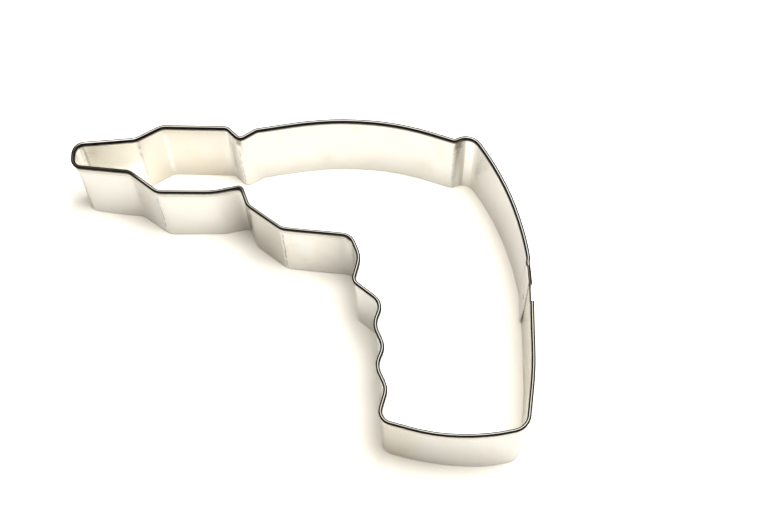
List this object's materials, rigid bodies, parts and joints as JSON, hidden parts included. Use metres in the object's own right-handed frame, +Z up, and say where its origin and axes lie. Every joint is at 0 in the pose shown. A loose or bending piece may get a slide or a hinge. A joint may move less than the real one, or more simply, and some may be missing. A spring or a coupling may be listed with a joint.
{
  "type": "cookie cutter",
  "caption": "Bent sheet-metal cookie cutter in the outline of a hand-held power drill, with a bare lower cutting edge and a rolled upper rim.",
  "frame": {"origin": "under the middle of the cutter's bounding box, at the level of the cutting edge", "axes": "+X runs along the barrel from the nose to the back of the handle, +Y from the grip to the top of the housing, +Z up from the cutting edge to the rolled rim"},
  "size_m": [0.1068, 0.0774, 0.025],
  "materials": {
    "tinplate": "bright tin plate, softly reflecting, with faint rolling marks",
    "weld": "dull, where the welding tips have pressed"
  },
  "bodies": {
    "root": {"band": "tinplate", "upper_spot_weld": "weld", "lower_spot_weld": "weld"}
  },
  "joints": []
}
